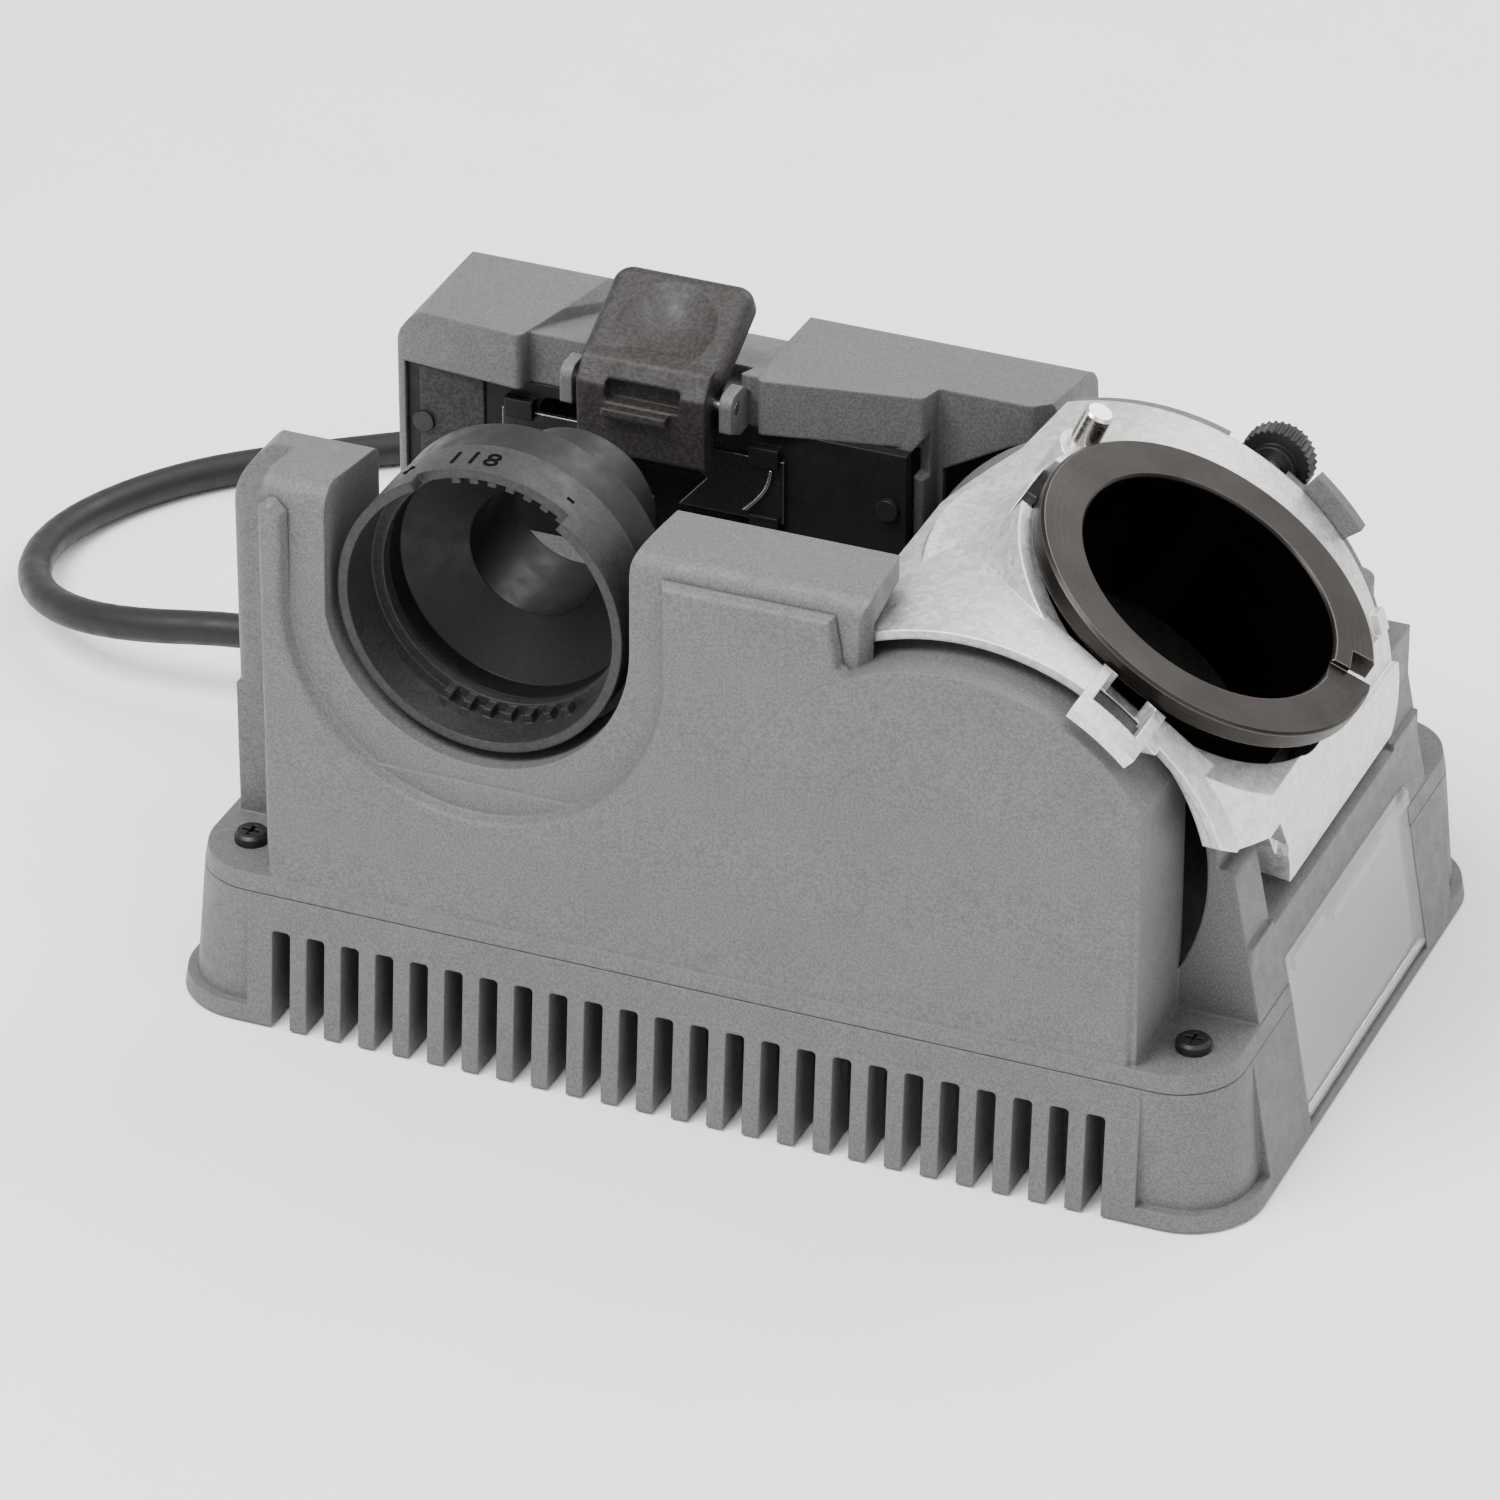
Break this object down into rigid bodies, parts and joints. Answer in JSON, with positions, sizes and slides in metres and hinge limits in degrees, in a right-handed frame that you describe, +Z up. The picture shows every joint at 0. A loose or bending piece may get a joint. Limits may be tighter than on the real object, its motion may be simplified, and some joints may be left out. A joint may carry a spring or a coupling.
{
  "type": "drill bit sharpener",
  "caption": "Bench sharpener for twist drills: a tilting carriage holds a chuck tube over a motor-driven grinding wheel, beside an alignment port with a spring lever.",
  "frame": {"origin": "on the bench, under the middle of the base", "axes": "+X along the machine towards the sharpening tube, -Y towards the user, +Z up"},
  "size_m": [0.3791, 0.3004, 0.1489],
  "materials": {
    "housing": "fine-textured grey moulding",
    "base": "fine-textured grey moulding",
    "feet": "matte",
    "black_plastic": "moulded black",
    "die_cast": "as cast, fine grain",
    "dark_steel": "dark brushed",
    "bright_steel": "polished",
    "screw_black": "blackened",
    "abrasive": "abrasive-plated",
    "clear": "clear plastic",
    "board": "printed circuit board",
    "brass": "plain",
    "cord": "black jacket"
  },
  "bodies": {
    "base": {"base_housing": "base", "rubber_feet": "feet", "upper_housing": "housing", "housing_screws": "screw_black", "port_body": "black_plastic", "alignment_frame": "black_plastic", "frame_screws": "screw_black", "lever_pin": "bright_steel", "lever_spring": "bright_steel", "motor_can": "dark_steel", "bearings": "bright_steel", "motor_cradle": "black_plastic", "motor_strap": "bright_steel", "motor_screws": "bright_steel", "circuit_board": "board", "switch_body": "black_plastic", "cover_pin": "bright_steel", "strain_relief": "cord", "power_cord": "cord", "cord_coil": "cord", "plug_body": "cord", "plug_blades": "brass"},
    "port": {"port_dial": "black_plastic"},
    "lever": {"alignment_lever": "black_plastic"},
    "left_pawl": {"pawl_left": "bright_steel"},
    "right_pawl": {"pawl_right": "bright_steel"},
    "saddle": {"carriage": "die_cast", "follower_pin": "bright_steel", "clamp_stud": "bright_steel", "rock_pin": "bright_steel", "rock_spring": "bright_steel"},
    "tube": {"sharpening_tube": "dark_steel"},
    "knob": {"clamp_knob": "screw_black"},
    "spindle": {"rotor": "bright_steel", "cooling_fan": "black_plastic", "grinding_wheel": "abrasive", "wheel_nut": "bright_steel"},
    "switch": {"switch_rocker": "black_plastic"},
    "cover": {"dust_cover": "clear"}
  },
  "joints": [
    {"name": "port_adjust", "type": "hinge", "parent": "base", "child": "port", "pos_m": [-0.053, 0, 0.1133], "axis": [0, -1, 0], "range_deg": [-12, 12]},
    {"name": "lever_press", "type": "hinge", "parent": "base", "child": "lever", "pos_m": [0, 0.024, 0.119], "axis": [-1, 0, 0], "range_deg": [0, 16], "stiffness_Nm_per_rad": 0.2, "springref_deg": -8.59},
    {"name": "pawl_left_slide", "type": "slide", "parent": "base", "child": "left_pawl", "axis": [-1, 0, 0], "range_m": [0, 0.004]},
    {"name": "pawl_right_slide", "type": "slide", "parent": "base", "child": "right_pawl", "axis": [1, 0, 0], "range_m": [0, 0.004]},
    {"name": "carriage_swing", "type": "hinge", "parent": "base", "child": "saddle", "pos_m": [0.0594, 0, 0.0727], "axis": [0, -1, 0], "range_deg": [0, 8.5]},
    {"name": "tube_rock", "type": "hinge", "parent": "saddle", "child": "tube", "pos_m": [0.05944, -0.019, 0.13684], "axis": [0, 1, 0], "range_deg": [0, 4], "stiffness_Nm_per_rad": 3, "springref_deg": -11.46},
    {"name": "knob_turn", "type": "hinge", "parent": "saddle", "child": "knob", "pos_m": [0.08838, 0, 0.1198], "axis": [0, 1, 0], "range_deg": [0, 360]},
    {"name": "spindle_spin", "type": "hinge", "parent": "base", "child": "spindle", "pos_m": [0, -0.007, 0.044], "axis": [1, 0, 0], "continuous": true},
    {"name": "switch_rock", "type": "hinge", "parent": "base", "child": "switch", "pos_m": [-0.02, 0.076, 0.058], "axis": [1, 0, 0], "range_deg": [0, 16]},
    {"name": "cover_open", "type": "hinge", "parent": "base", "child": "cover", "pos_m": [0.12775, 0, 0.0044], "axis": [0, 1, 0], "range_deg": [0, 80]}
  ],
  "couplings": [
    {"joint": "pawl_left_slide", "follows": "lever_press", "m_per_rad": 0.014324},
    {"joint": "pawl_right_slide", "follows": "lever_press", "m_per_rad": 0.014324}
  ]
}
